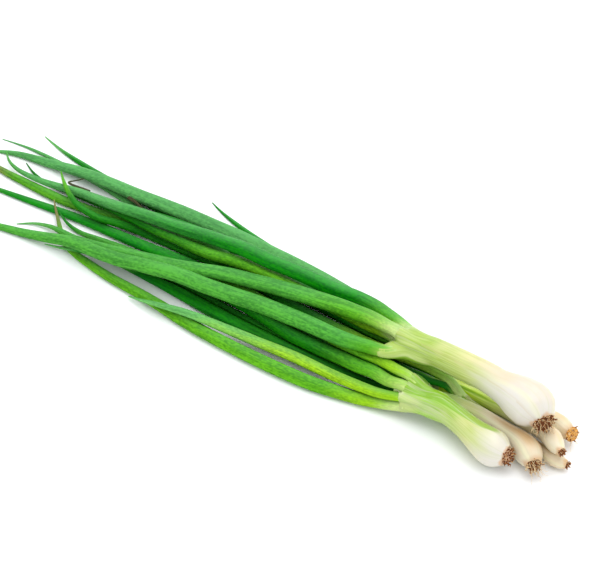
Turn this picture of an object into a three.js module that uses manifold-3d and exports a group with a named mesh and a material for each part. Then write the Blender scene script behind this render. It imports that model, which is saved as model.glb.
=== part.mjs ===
// A bunch of six spring onions lying loosely together on a flat surface.
//
// Millimetres. +X runs along the bunch towards the bulbs, +Y runs across it and +Z is up.
// Each plant is a bulb that narrows into a round white stem, a tuft of roots on the bulb's end, and
// the hollow leaves that fork out of the stem. The bulbs and stems are placed by hand. The leaves
// are laid down one after another, as the real ones lie: each follows its own route over the
// surface and rests on the surface or on whatever already lies below it.

import * as THREE from "three";
import { mergeVertices } from "three/addons/utils/BufferGeometryUtils.js";
import Module from "manifold-3d";

const wasm = await Module();
wasm.setup();

// ---------------------------------------------------------------------------------------------
// Driving dimensions
// ---------------------------------------------------------------------------------------------

const LEAF_SIDES = 7;
const LEAF_STEP = 11; // between the rings of a leaf
const LEAF_FLATTENING = 0.72; // a leaf's thickness over its width
const LEAF_SWELL_LENGTH = 25; // how far from the fork a leaf reaches most of its full width
const LEAF_TIP_RADIUS = 0.35;
const LEAF_TIP_POWER = 0.7; // below 1 the leaf narrows roundly, above 1 it narrows hollowly
const LEAF_GAP = 0.5; // air between a leaf and what it rests on
const FLOOR_GAP = 0.05; // air between a leaf and the surface
const FORK_GAP = 2; // from the end of a stem to the start of its leaves

const STEM_SIDES = 14;
const STEM_RINGS = 19;
const STEM_RING_CROWDING = 1.35; // above 1 the rings stand closer together over the bulb

const PLATE_SIDES = 10;
const PLATE_GAP = 0.3; // between a bulb and its basal plate
const PLATE_THICKNESS = 1.8;
const PLATE_WIDTH = 0.92; // of the bulb's end
const PLATE_TAPER = 0.45;
const ROOT_SIDES = 5;
const ROOT_RINGS = 5;
const ROOT_RADIUS = 0.6;
const ROOT_TIP_RADIUS = 0.2;
const ROOT_CIRCLE = 0.6; // how much of the plate's radius the roots grow on
const ROOT_DEPTH = 0.4; // how deep in the plate they start
const ROOT_LEAST_LEAN = 0.35; // the middle root's lean over the outermost one's

// ---------------------------------------------------------------------------------------------
// The plants
// ---------------------------------------------------------------------------------------------

// stem:   its centreline from the root end to the fork, as [x, y, z, radius].
// roots:  how many strands, how long, and how far they spread.
// leaves: start is [across, height] from the middle of the fork; route is the [x, y] places that
//         the leaf passes to its tip; its half width is base at the fork, swells to full, and
//         shrinks towards the tip, the later the larger hold is.
const PLANTS = {
  middle: {
    stem: [
      [184.6, -41.7, 6.5, 3.5], [182.8, -40.3, 7, 5.8], [178.5, -37.3, 7.7, 7.4], [171, -33.8, 7.8, 6.4],
      [160, -31, 7.4, 4.6], [143, -28.5, 6.8, 4.2], [128, -28.5, 6, 4], [116, -29, 5.6, 4],
    ],
    roots: { count: 8, length: 6, spread: 0.9 },
    leaves: {
      middle_leaf_1: {
        start: [-2.4, -2.6], base: 2, full: 4.3, hold: 6,
        route: [
          [98, -38], [80, -42.5], [60, -45], [30, -47.5], [-10, -48.5], [-50, -47.5], [-80, -47.5],
          [-104, -48.5],
        ],
      },
      middle_leaf_2: {
        start: [2.4, -2.6], base: 1.9, full: 2.4, hold: 7,
        route: [
          [98, -31], [80, -34.5], [60, -37.5], [30, -39.8], [-10, -40.5], [-50, -40], [-90, -41.5],
          [-126, -45],
        ],
      },
    },
  },
  right: {
    stem: [
      [194, -31, 12.7, 2], [190.5, -29.3, 12.8, 4.2], [184.5, -25, 12, 5.3], [177, -20.2, 8.4, 4.4],
      [167, -17, 5.2, 3.9], [150, -16, 4.9, 3.9], [135, -15.5, 4.8, 4], [123, -15.7, 4.8, 4.2],
    ],
    roots: { count: 5, length: 2.5, spread: 0.7 },
    leaves: {
      right_leaf_1: {
        start: [2.5, -2], base: 2.2, full: 4.1, hold: 4,
        route: [
          [105, -13.5], [85, -15], [60, -16.5], [30, -17], [-10, -16], [-55, -16], [-90, -16.5],
          [-113, -21.5], [-124, -26], [-134, -28.8], [-146.5, -28.2], [-154, -26.5], [-161, -23.5],
          [-171, -17.5], [-181, -10],
        ],
      },
      right_leaf_2: {
        start: [-2.5, -2], base: 2.2, full: 4.6, hold: 3,
        route: [
          [105, -20], [85, -23], [60, -25.5], [30, -27], [-10, -25.5], [-50, -23.5], [-100, -28],
          [-145, -31.5], [-185, -37], [-213, -40.5], [-234, -42.5],
        ],
      },
    },
  },
  under: {
    stem: [
      [197, -29.5, 4.1, 1.8], [194.5, -30, 4.2, 3.4], [189.5, -29.8, 4.2, 4], [182, -28, 3.7, 3.1],
      [174, -26, 3, 2.4], [150, -22.8, 2.6, 2.2], [131, -22.4, 2.6, 2.2],
    ],
    roots: { count: 4, length: 2.5, spread: 0.7 },
    leaves: {
      under_leaf_1: {
        start: [0.2, -1], base: 1.4, full: 2.6, hold: 8,
        route: [
          [110, -24], [90, -27], [70, -30.5], [45, -33], [10, -34], [-40, -34], [-85, -34],
          [-118, -37.5], [-142, -40.5], [-158, -36],
        ],
      },
      under_leaf_2: {
        start: [0.4, 2.2], base: 1.4, full: 3.6, hold: 10,
        route: [
          [110, -19.5], [86, -20], [51, -21], [10, -21], [-30, -17], [-65, -10], [-98, -11],
          [-124, -16.5], [-145, -21.5], [-167.5, -24.5], [-201.5, -25], [-220.5, -24.5],
          [-244.5, -20.5],
        ],
      },
    },
  },
  back: {
    stem: [
      [189, -12, 7.6, 2.4], [186.5, -11.8, 7.5, 4.6], [180.5, -10, 7.2, 5.6], [172.5, -8, 6.4, 4.8],
      [162, -6.5, 5.4, 3.9], [148, -5.5, 5, 3.8], [132, -5, 4.8, 3.9], [119.5, -4.4, 4.8, 4],
    ],
    roots: { count: 7, length: 5, spread: 0.8 },
    leaves: {
      back_leaf_1: {
        start: [2.2, -2.2], base: 1.8, full: 3.4, hold: 4,
        route: [
          [100, -2], [76, -1.5], [40, -0.5], [0, 1], [-48, 3.5], [-96, 4.5], [-140, 7.5], [-178, 11],
          [-206, 15], [-225.5, 20],
        ],
      },
      back_leaf_2: {
        start: [-2.4, -2.2], base: 1.8, full: 3, hold: 4,
        route: [
          [100, -8], [73, -8], [37, -7.5], [-6, -6], [-57, -5], [-108, -2.5], [-155, 2], [-195, 4],
          [-224, 4], [-245, 1],
        ],
      },
      back_leaf_3: {
        start: [2.6, 1.6], base: 1.6, full: 3, hold: 3.3,
        route: [
          [106, 1.5], [90, 3.5], [70, 5], [44, 7], [15, 11], [-15, 15], [-42, 19], [-65, 23.5],
          [-82, 28], [-94, 32.5],
        ],
      },
      back_leaf_4: {
        start: [-2.4, 1.8], base: 1.6, full: 2.8, hold: 5.5,
        route: [
          [98, -10.5], [73, -11], [38, -10], [-4, -8], [-53, -4], [-95, -5], [-130.5, -10.5],
          [-169, -15], [-196, -15.5], [-214, -8.5],
        ],
      },
    },
  },
  front: {
    stem: [
      [171.8, -48.4, 10, 4.2], [169.6, -48.6, 10.1, 7.8], [163.5, -48.5, 10.3, 9.7], [155, -47.2, 11, 8.4],
      [146, -45.4, 12, 6.9], [134, -42.9, 12.8, 6.5], [125, -41.9, 13, 6.8], [118, -42.5, 13, 6.7],
    ],
    roots: { count: 10, length: 3.5, spread: 0.9 },
    leaves: {
      front_leaf_1: {
        start: [-4.6, -2.8], base: 2.5, full: 4.6, hold: 2.4,
        route: [
          [103, -50], [82.5, -55], [54, -61.5], [18, -64.5], [-22, -65], [-64, -62], [-102, -60.5],
          [-134, -54.5], [-153.5, -41.5], [-167.5, -30.5],
        ],
      },
      front_leaf_2: {
        start: [-4.2, 2.2], base: 2.2, full: 3.7, hold: 3.5,
        route: [
          [107, -48], [94, -50.5], [75, -51.5], [52, -52.5], [25, -54.5], [-1, -57], [-25, -61.5],
          [-46, -65.5], [-61, -67], [-73, -67],
        ],
      },
      front_leaf_3: {
        start: [1.8, -1.8], base: 2.4, full: 4.8, hold: 2.8,
        route: [
          [103, -44], [84, -42.5], [58, -41], [26, -41], [-11, -37], [-48, -36], [-82, -42],
          [-109, -51.5], [-129, -59], [-145, -62],
        ],
      },
      front_leaf_4: {
        start: [3.4, 2.8], base: 2.2, full: 3.8, hold: 2.8,
        route: [
          [102, -38.5], [83, -35.5], [55, -33], [21, -30], [-18, -30], [-57.5, -34], [-92.5, -42],
          [-118.5, -46], [-138, -47.5],
        ],
      },
    },
  },
  top: {
    stem: [
      [179.2, -27, 22.7, 4.8], [177, -25.9, 23.7, 9.4], [171.2, -24, 25.5, 12.3],
      [163.3, -22.7, 26.1, 11.9], [156, -21.9, 26.4, 9.9], [149, -21.5, 26.5, 8.2], [141, -20.6, 26.5, 7.9],
      [130, -20.5, 26.3, 7.9], [117, -20.4, 25.9, 7.8], [105, -20.2, 25.2, 7.7], [95, -20, 24.6, 7.4],
    ],
    roots: { count: 14, length: 4.2, spread: 0.85 },
    leaves: {
      top_leaf_1: {
        start: [5.4, -2.6], base: 2.4, full: 5.2, hold: 5,
        route: [
          [80.5, -7.5], [67.5, -1.5], [45, 4], [12, 8], [-28, 10], [-74, 7], [-121, 3.5], [-164, 1],
          [-200, -2], [-226, -6.5], [-244.5, -14.5],
        ],
      },
      top_leaf_2: {
        start: [-0.4, -2.6], base: 2.4, full: 4.6, hold: 3.6,
        route: [
          [72, -13.5], [53, -11.5], [26, -11.5], [-6, -13.5], [-43, -20.5], [-80, -17], [-108, -18],
          [-124.5, -18], [-137.5, -17], [-151.5, -16.5], [-168, -16.5],
        ],
      },
      top_leaf_3: {
        start: [2.6, 2], base: 2.4, full: 5.4, hold: 2.4,
        route: [
          [84, -12], [69.5, -5], [47, 0.5], [15, -4], [-22, -14], [-67, -12], [-95, -15],
          [-109, -17.5], [-124, -19], [-139, -18.5], [-156, -17], [-172.5, -18.5], [-188, -21.5],
          [-202, -21.5], [-212.5, -19.5], [-222.5, -15.5], [-230.5, -9.5],
        ],
      },
      top_leaf_4: {
        start: [-3.2, 2], base: 2.4, full: 6, hold: 1.8,
        route: [
          [84.5, -20], [74, -17], [56, -14.5], [29, -17], [-2, -23], [-38, -35], [-74, -44],
          [-109, -48.5], [-138, -50], [-160, -49], [-174, -57],
        ],
      },
      top_leaf_5: {
        start: [-6.4, -2.8], base: 2.4, full: 5.6, hold: 3.5,
        route: [
          [85, -32.5], [72, -35], [55, -36], [28, -36], [-8, -39.5], [-49, -48.5], [-91, -55.5],
          [-131, -57.5], [-164, -63], [-188, -68.5], [-206, -72],
        ],
      },
    },
  },
};

// The order in which the leaves were laid, from the surface up.
const LAYING_ORDER = [
  "middle_leaf_1", "right_leaf_2", "right_leaf_1", "under_leaf_1", "back_leaf_1", "back_leaf_2",
  "back_leaf_3", "middle_leaf_2", "under_leaf_2", "back_leaf_4", "front_leaf_1", "front_leaf_2",
  "front_leaf_3", "front_leaf_4", "top_leaf_1", "top_leaf_2", "top_leaf_3", "top_leaf_4",
  "top_leaf_5",
];

// The leaves whose tips were laid across the others at the very end, and how many rings of each.
const TIPS_LAID_LAST = { right_leaf_1: 6 };

// The stems that pass over each plant's leaves, so that the leaves don't rest on them.
const STEMS_ABOVE = {
  middle: ["front", "top"],
  right: ["front", "top"],
  under: ["front", "top"],
  back: ["front", "top"],
  front: ["top"],
  top: [],
};

// ---------------------------------------------------------------------------------------------
// Materials
// ---------------------------------------------------------------------------------------------

const BULB_FINISH = { color: 0xeeeed8, roughness: 0.45 };
const ROOT_FINISH = { color: 0x6b4528, roughness: 0.9 };
const LEAF_FINISH = { color: 0x2f7d34, roughness: 0.5 };

// ---------------------------------------------------------------------------------------------
// Closed tubes that follow a centreline
// ---------------------------------------------------------------------------------------------

// A ring of a tube: its centre, half width across and half thickness.
function ring(x, y, z, halfWidth, halfThickness) {
  return { centre: new THREE.Vector3(x, y, z), halfWidth, halfThickness };
}

// A sphere whose rows of vertices are moved onto the rings. Its first and last rows, the poles,
// close the tube with flat ends.
function tubeGeometry(rings, sides) {
  const SEAM_TOLERANCE = 1e-4;
  const lastRow = rings.length + 1;
  const geometry = new THREE.SphereGeometry(1, sides, lastRow);
  const position = geometry.attributes.position;
  const up = new THREE.Vector3(0, 0, 1);
  for (let row = 0; row <= lastRow; row += 1) {
    const index = Math.min(Math.max(row - 1, 0), rings.length - 1);
    const { centre, halfWidth, halfThickness } = rings[index];
    const before = rings[Math.max(index - 1, 0)].centre;
    const after = rings[Math.min(index + 1, rings.length - 1)].centre;
    const along = after.clone().sub(before).normalize();
    const across = new THREE.Vector3().crossVectors(up, along).normalize();
    const over = new THREE.Vector3().crossVectors(along, across);
    const isPole = row === 0 || row === lastRow;
    for (let column = 0; column <= sides; column += 1) {
      const angle = (2 * Math.PI * column) / sides;
      const sideways = isPole ? 0 : -Math.cos(angle) * halfWidth;
      const upwards = isPole ? 0 : Math.sin(angle) * halfThickness;
      const point = centre.clone().addScaledVector(across, sideways).addScaledVector(over, upwards);
      position.setXYZ(row * (sides + 1) + column, point.x, point.y, point.z);
    }
  }
  geometry.deleteAttribute("normal");
  geometry.deleteAttribute("uv");
  return mergeVertices(geometry, SEAM_TOLERANCE);
}

// ---------------------------------------------------------------------------------------------
// Stems
// ---------------------------------------------------------------------------------------------

// Rings spaced evenly along the stem's centreline, with the radius read between its places.
function stemRings(places) {
  const centres = places.map(([x, y, z]) => new THREE.Vector3(x, y, z));
  const curve = new THREE.CatmullRomCurve3(centres, false, "centripetal");
  const radii = new THREE.CatmullRomCurve3(
    places.map(([, , , radius], index) => new THREE.Vector3(index, radius, 0)),
  );
  const rings = [];
  for (let index = 0; index < STEM_RINGS; index += 1) {
    const along = (index / (STEM_RINGS - 1)) ** STEM_RING_CROWDING;
    const point = curve.getPoint(along);
    const radius = radii.getPoint(along).y;
    rings.push(ring(point.x, point.y, point.z, radius, radius));
  }
  return rings;
}

// ---------------------------------------------------------------------------------------------
// Leaves, laid one on another
// ---------------------------------------------------------------------------------------------

function leafHalfWidth(leaf, distance, length) {
  const swelling = 1 - Math.exp(-distance / LEAF_SWELL_LENGTH);
  const open = leaf.base + (leaf.full - leaf.base) * swelling;
  const taper = (1 - (distance / length) ** leaf.hold) ** LEAF_TIP_POWER;
  return Math.max(open * taper, LEAF_TIP_RADIUS);
}

// How high a ring's centre has to be so that it clears everything that lies under it.
function lowestHeight(place, halfWidth, halfThickness, bodiesBelow) {
  let height = halfThickness + FLOOR_GAP;
  for (const rings of bodiesBelow) {
    for (let index = 0; index + 1 < rings.length; index += 1) {
      const from = rings[index];
      const to = rings[index + 1];
      const dx = to.centre.x - from.centre.x;
      const dy = to.centre.y - from.centre.y;
      const lengthSquared = dx * dx + dy * dy;
      const along = ((place.x - from.centre.x) * dx + (place.y - from.centre.y) * dy) / lengthSquared;
      const beyondStart = index === 0 && along < 0;
      const beyondEnd = index + 2 === rings.length && along > 1;
      if (beyondStart || beyondEnd) continue;
      const share = THREE.MathUtils.clamp(along, 0, 1);
      const aside = Math.hypot(
        place.x - from.centre.x - share * dx,
        place.y - from.centre.y - share * dy,
      );
      const reach = halfWidth + THREE.MathUtils.lerp(from.halfWidth, to.halfWidth, share) + LEAF_GAP;
      if (aside >= reach) continue;
      const stack = halfThickness
        + THREE.MathUtils.lerp(from.halfThickness, to.halfThickness, share) + LEAF_GAP;
      const under = THREE.MathUtils.lerp(from.centre.z, to.centre.z, share);
      height = Math.max(height, under + stack * Math.sqrt(1 - (aside / reach) ** 2));
    }
  }
  return height;
}

// Lets a springy strip sink onto the heights that it has to clear: one for each ring, and one for
// each place midway between two rings. Its first rings are held at the heights given for them.
function sink(lowest, lowestMidway, held) {
  const FIRST_LIFT = 6;
  const SINK_STEPS = 400;
  const SINK_STEP = 0.2;
  const SMOOTHING_ROUNDS = 4;
  const STIFFNESS = 0.12;
  const heights = lowest.map((height) => height + FIRST_LIFT);
  const last = heights.length - 1;
  const at = (index) => {
    if (index < 0) return 2 * heights[0] - heights[1];
    if (index > last) return 2 * heights[last] - heights[last - 1];
    return heights[index];
  };
  for (let step = 0; step < SINK_STEPS; step += 1) {
    for (let index = 0; index <= last; index += 1) heights[index] -= SINK_STEP;
    for (let round = 0; round < SMOOTHING_ROUNDS; round += 1) {
      const bend = heights.map((height, index) => at(index + 1) - 2 * height + at(index - 1));
      for (let index = 0; index <= last; index += 1) {
        const before = bend[Math.max(index - 1, 0)];
        const after = bend[Math.min(index + 1, last)];
        heights[index] -= STIFFNESS * (after - 2 * bend[index] + before);
      }
    }
    lowestMidway.forEach((height, index) => {
      const shortfall = height - (heights[index] + heights[index + 1]) / 2;
      if (shortfall <= 0 || index + 1 < held.length) return;
      heights[index] += shortfall;
      heights[index + 1] += shortfall;
    });
    for (let index = 0; index <= last; index += 1) {
      heights[index] = Math.max(heights[index], lowest[index]);
    }
    held.forEach((height, index) => {
      heights[index] = height;
    });
  }
  return heights;
}

// The leaf's rings along its route, all at the height of its start.
function leafRings(leaf, fork) {
  const ARC_LENGTH_DIVISIONS = 400;
  const [across, above] = leaf.start;
  const start = [fork.centre.x - FORK_GAP, fork.centre.y + across];
  const places = [start, ...leaf.route].map(([x, y]) => new THREE.Vector3(x, y, 0));
  const curve = new THREE.CatmullRomCurve3(places, false, "centripetal");
  curve.arcLengthDivisions = ARC_LENGTH_DIVISIONS;
  const length = curve.getLength();
  const count = Math.round(length / LEAF_STEP);
  return curve.getSpacedPoints(count).map((point, index) => {
    const halfWidth = leafHalfWidth(leaf, (index / count) * length, length);
    const height = fork.centre.z + above;
    return ring(point.x, point.y, height, halfWidth, halfWidth * LEAF_FLATTENING);
  });
}

// Brings a leaf's rings to rest on what lies below them. The first of them, as many as heldCount,
// stay at the heights that they have.
function layRings(rings, heldCount, bodiesBelow) {
  const midway = rings.slice(1).map((next, index) => {
    const centre = rings[index].centre.clone().lerp(next.centre, 0.5);
    const halfWidth = (rings[index].halfWidth + next.halfWidth) / 2;
    return ring(centre.x, centre.y, centre.z, halfWidth, halfWidth * LEAF_FLATTENING);
  });
  const clearing = ({ centre, halfWidth, halfThickness }) =>
    lowestHeight(centre, halfWidth, halfThickness, bodiesBelow);
  const held = rings.slice(0, heldCount).map(({ centre }) => centre.z);
  const heights = sink(rings.map(clearing), midway.map(clearing), held);
  rings.forEach(({ centre }, index) => {
    centre.z = heights[index];
  });
}

// ---------------------------------------------------------------------------------------------
// Roots
// ---------------------------------------------------------------------------------------------

function solidFrom(geometry) {
  const vertProperties = new Float32Array(geometry.attributes.position.array);
  const triVerts = new Uint32Array(geometry.index.array);
  return new wasm.Manifold(new wasm.Mesh({ numProp: 3, vertProperties, triVerts }));
}

function geometryFrom(solid) {
  const mesh = solid.getMesh();
  const geometry = new THREE.BufferGeometry();
  geometry.setAttribute("position", new THREE.BufferAttribute(mesh.vertProperties, 3));
  geometry.setIndex(new THREE.BufferAttribute(mesh.triVerts, 1));
  return geometry;
}

// The basal plate, a short tapered disc just off the bulb's end, and the strands that fan out of
// it, all joined in one solid.
function rootTuftGeometry(stem, roots) {
  const GOLDEN_ANGLE = 2.4;
  const PLATE_RINGS = [0, 0.6, 1];
  const end = stem[0];
  const outward = end.centre.clone().sub(stem[1].centre).normalize();
  const sideways = new THREE.Vector3(-outward.y, outward.x, 0).normalize();
  const upwards = new THREE.Vector3().crossVectors(outward, sideways);
  const place = (distance, aside, above) => end.centre.clone()
    .addScaledVector(outward, distance)
    .addScaledVector(sideways, aside)
    .addScaledVector(upwards, above);

  const plateRadius = end.halfWidth * PLATE_WIDTH;
  const plate = PLATE_RINGS.map((share) => {
    const { x, y, z } = place(PLATE_GAP + share * PLATE_THICKNESS, 0, 0);
    const radius = plateRadius * (1 - PLATE_TAPER * share * share);
    return ring(x, y, z, radius, radius);
  });
  let tuft = solidFrom(tubeGeometry(plate, PLATE_SIDES));

  for (let index = 0; index < roots.count; index += 1) {
    const angle = index * GOLDEN_ANGLE;
    const outwardness = Math.sqrt((index + 0.5) / roots.count);
    const outFromMiddle = outwardness * plateRadius * ROOT_CIRCLE;
    const lean = roots.spread * THREE.MathUtils.lerp(ROOT_LEAST_LEAN, 1, outwardness);
    const strand = [];
    for (let step = 0; step < ROOT_RINGS; step += 1) {
      const share = step / (ROOT_RINGS - 1);
      const start = PLATE_GAP + PLATE_THICKNESS * ROOT_DEPTH;
      const distance = start + share * roots.length * Math.cos(lean);
      const away = outFromMiddle + share * share * roots.length * Math.sin(lean);
      const point = place(distance, away * Math.cos(angle), away * Math.sin(angle));
      const radius = THREE.MathUtils.lerp(ROOT_RADIUS, ROOT_TIP_RADIUS, share);
      point.z = Math.max(point.z, radius + FLOOR_GAP);
      strand.push(ring(point.x, point.y, point.z, radius, radius));
    }
    tuft = tuft.add(solidFrom(tubeGeometry(strand, ROOT_SIDES)));
  }
  return geometryFrom(tuft);
}

// ---------------------------------------------------------------------------------------------
// The bunch
// ---------------------------------------------------------------------------------------------

const bunch = new THREE.Group();

function addPiece(name, geometry, finish) {
  const material = new THREE.MeshStandardMaterial({ ...finish, metalness: 0 });
  const mesh = new THREE.Mesh(geometry, material);
  mesh.name = name;
  bunch.add(mesh);
}

const stems = {};
for (const [plantName, plant] of Object.entries(PLANTS)) {
  stems[plantName] = stemRings(plant.stem);
  const bulb = tubeGeometry(stems[plantName], STEM_SIDES);
  addPiece(`${plantName}_bulb_and_stem`, bulb, BULB_FINISH);
  const tuft = rootTuftGeometry(stems[plantName], plant.roots);
  addPiece(`${plantName}_roots`, tuft, ROOT_FINISH);
}

// Each leaf lies on the stems and on the leaves laid before it, but none lies on a tip laid last.
const leaves = {};
const laid = [];
for (const leafName of LAYING_ORDER) {
  const [plantName] = leafName.split("_");
  const stemsBelow = Object.keys(stems)
    .filter((name) => name !== plantName && !STEMS_ABOVE[plantName].includes(name))
    .map((name) => stems[name]);
  const rings = leafRings(PLANTS[plantName].leaves[leafName], stems[plantName].at(-1));
  layRings(rings, 1, stemsBelow.concat(laid));
  leaves[leafName] = rings;
  laid.push(rings.slice(0, rings.length - (TIPS_LAID_LAST[leafName] ?? 0)));
}
for (const [leafName, tipRings] of Object.entries(TIPS_LAID_LAST)) {
  const { [leafName]: rings, ...others } = leaves;
  layRings(rings, rings.length - tipRings, Object.values(others));
}
for (const [leafName, rings] of Object.entries(leaves)) {
  addPiece(leafName, tubeGeometry(rings, LEAF_SIDES), LEAF_FINISH);
}

// The origin is on the surface, under the middle of the bunch's bounding box.
const box = new THREE.Box3().setFromObject(bunch);
const middle = box.getCenter(new THREE.Vector3());
bunch.position.set(-middle.x, -middle.y, -box.min.z);
bunch.updateMatrixWorld(true);

export default bunch;
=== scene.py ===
import math

import bpy
import numpy as np
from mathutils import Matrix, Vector


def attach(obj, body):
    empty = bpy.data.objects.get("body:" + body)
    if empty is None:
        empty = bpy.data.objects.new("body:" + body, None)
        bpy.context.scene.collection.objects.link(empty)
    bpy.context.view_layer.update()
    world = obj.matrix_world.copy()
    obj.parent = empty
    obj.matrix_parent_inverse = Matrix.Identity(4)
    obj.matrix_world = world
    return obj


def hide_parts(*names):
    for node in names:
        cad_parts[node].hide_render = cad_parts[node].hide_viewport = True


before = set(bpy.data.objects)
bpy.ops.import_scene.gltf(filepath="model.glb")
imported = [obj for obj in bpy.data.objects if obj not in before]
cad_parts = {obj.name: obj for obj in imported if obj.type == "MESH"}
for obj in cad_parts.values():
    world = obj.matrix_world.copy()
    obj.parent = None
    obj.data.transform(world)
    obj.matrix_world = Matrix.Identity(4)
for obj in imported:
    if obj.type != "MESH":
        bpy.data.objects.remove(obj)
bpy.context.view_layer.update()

# ---------------------------------------------------------------------------------------------
# The surface and the light: a plain white surface under a bright, even sky, with one weak softbox
# behind the bunch and one above it. The camera looks down on the bunch from its bulb end.
# ---------------------------------------------------------------------------------------------

scene = bpy.context.scene
scene.view_settings.view_transform = "Standard"


def add_object(name, data):
    made = bpy.data.objects.new(name, data)
    scene.collection.objects.link(made)
    return made


def looking(azimuth, elevation):
    """The direction out to somebody who looks from this azimuth and elevation, in degrees."""
    a, e = math.radians(azimuth), math.radians(elevation)
    return Vector((math.sin(a) * math.cos(e), -math.cos(a) * math.cos(e), math.sin(e)))


AIM = Vector((0.02225, 0.01974, 0.0))  # the camera and the softboxes point here
CAMERA_AZIMUTH, CAMERA_ELEVATION, CAMERA_DISTANCE = 38, 40, 1.0
camera_side = looking(CAMERA_AZIMUTH, CAMERA_ELEVATION)
camera = add_object("camera", bpy.data.cameras.new("camera"))
camera.data.lens = 103.45
camera.location = AIM + CAMERA_DISTANCE * camera_side
camera.rotation_euler = camera_side.to_track_quat("Z", "Y").to_euler()
scene.camera = camera

FLOOR_SIZE = 6.0
half = FLOOR_SIZE / 2
floor_mesh = bpy.data.meshes.new("floor")
floor_mesh.from_pydata(
    [(-half, -half, 0), (half, -half, 0), (half, half, 0), (-half, half, 0)], [], [(0, 1, 2, 3)]
)
floor = add_object("floor", floor_mesh)
floor_paint = bpy.data.materials.new("white surface")
floor_paint.use_nodes = True
paper = floor_paint.node_tree.nodes["Principled BSDF"]
paper.inputs["Base Color"].default_value = (0.9, 0.9, 0.9, 1)
paper.inputs["Roughness"].default_value = 0.6
paper.inputs["Specular IOR Level"].default_value = 0.2
floor_mesh.materials.append(floor_paint)

scene.world = bpy.data.worlds.new("studio")
scene.world.use_nodes = True
sky = scene.world.node_tree.nodes["Background"]
sky.inputs["Color"].default_value = (0.95, 0.98, 1.0, 1)
sky.inputs["Strength"].default_value = 1.2

SOFTBOX_DISTANCE, SOFTBOX_SIZE = 1.6, 1.2


def area_light(name, azimuth, elevation, power):
    light = add_object(name, bpy.data.lights.new(name, "AREA"))
    light.data.shape = "DISK"
    light.data.size = SOFTBOX_SIZE
    light.data.energy = power
    light.location = AIM + SOFTBOX_DISTANCE * looking(azimuth, elevation)
    light.rotation_euler = looking(azimuth, elevation).to_track_quat("Z", "Y").to_euler()


area_light("back softbox", CAMERA_AZIMUTH + 160, 55, 6.5)
area_light("top softbox", CAMERA_AZIMUTH + 60, 78, 7)

# ---------------------------------------------------------------------------------------------
# The leaves: hollow green tubes, softly flattened and channelled, that narrow to a point. Each
# grows out of its plant's stem, and the CAD leaf gives its course and its width.
# ---------------------------------------------------------------------------------------------


class Wire:
    """A socket of a node tree. Sums of wires and numbers add Math and Vector Math nodes."""

    def __init__(self, tree, socket=None):
        self.tree, self.socket = tree, socket

    def node(self, kind, settings=None, values=None, out=0):
        """Adds a node of a kind: its settings, then its sockets' values or wires. A socket that
        is given a list takes all of the list's wires."""
        made = self.tree.nodes.new(kind)
        for name, setting in (settings or {}).items():
            setattr(made, name, setting)
        ready = [socket for socket in made.inputs if socket.enabled]
        for key, value in (values or {}).items():
            target = ready[key] if isinstance(key, int) else next(s for s in ready if s.name == key)
            for single in value if isinstance(value, list) else [value]:
                if isinstance(single, Wire):
                    self.tree.links.new(single.socket, target)
                else:
                    target.default_value = single
        outputs = [socket for socket in made.outputs if socket.enabled]
        found = outputs[out] if isinstance(out, int) else next(s for s in outputs if s.name == out)
        return Wire(self.tree, found)

    def maths(self, operation, *values):
        return self.node("ShaderNodeMath", {"operation": operation}, dict(enumerate(values)))

    def vector_maths(self, operation, *values):
        return self.node("ShaderNodeVectorMath", {"operation": operation}, dict(enumerate(values)))

    @staticmethod
    def is_vector(value):
        return isinstance(value, tuple) or isinstance(value, Wire) and value.socket.type == "VECTOR"

    def join(self, operation, first, second):
        if self.is_vector(first) or self.is_vector(second):
            return self.vector_maths(operation, first, second)
        return self.maths(operation, first, second)

    def __add__(self, other):
        return self.join("ADD", self, other)

    def __radd__(self, other):
        return self.join("ADD", other, self)

    def __sub__(self, other):
        return self.join("SUBTRACT", self, other)

    def __rsub__(self, other):
        return self.join("SUBTRACT", other, self)

    def __mul__(self, other):
        if self.is_vector(self) and not self.is_vector(other):
            return self.vector_maths("SCALE", self, other)
        return self.join("MULTIPLY", self, other)

    def __rmul__(self, other):
        return self * other

    def __truediv__(self, other):
        return self.maths("DIVIDE", self, other)

    def __pow__(self, other):
        return self.maths("POWER", self, other)

    def smooth(self, start, end, low=0.0, high=1.0):
        """From low to high in a soft S, as this goes from start to end."""
        return self.node(
            "ShaderNodeMapRange",
            {"interpolation_type": "SMOOTHSTEP"},
            {0: self, 1: start, 2: end, 3: low, 4: high},
        )

    def mix(self, colour, other):
        """The colour where this is 0, and the other where it is 1."""
        return self.node(
            "ShaderNodeMix", {"data_type": "RGBA"}, {"Factor": self, "A": colour, "B": other}
        )

    def noise(self, scale, detail=2.0, roughness=0.5):
        return self.node(
            "ShaderNodeTexNoise",
            values={"Vector": self, "Scale": scale, "Detail": detail, "Roughness": roughness},
        )


def geometry_tree(name, inputs):
    """A Geometry Nodes tree with these named inputs, and a wire from each of them."""
    tree = bpy.data.node_groups.new(name, "GeometryNodeTree")
    tree.interface.new_socket("Geometry", in_out="OUTPUT", socket_type="NodeSocketGeometry")
    for label, kind in inputs.items():
        tree.interface.new_socket(label, in_out="INPUT", socket_type="NodeSocket" + kind)
    entry = tree.nodes.new("NodeGroupInput")
    return tree, {label: Wire(tree, entry.outputs[label]) for label in inputs}


def close_tree(geometry, material):
    """Ends a tree: everything real, smooth and in its material."""
    real = geometry.node("GeometryNodeRealizeInstances", values={0: geometry})
    smooth = real.node("GeometryNodeSetShadeSmooth", values={0: real, "Shade Smooth": True})
    painted = smooth.node("GeometryNodeSetMaterial", values={0: smooth, "Material": material})
    end = geometry.tree.nodes.new("NodeGroupOutput")
    geometry.tree.links.new(painted.socket, end.inputs["Geometry"])


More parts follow.
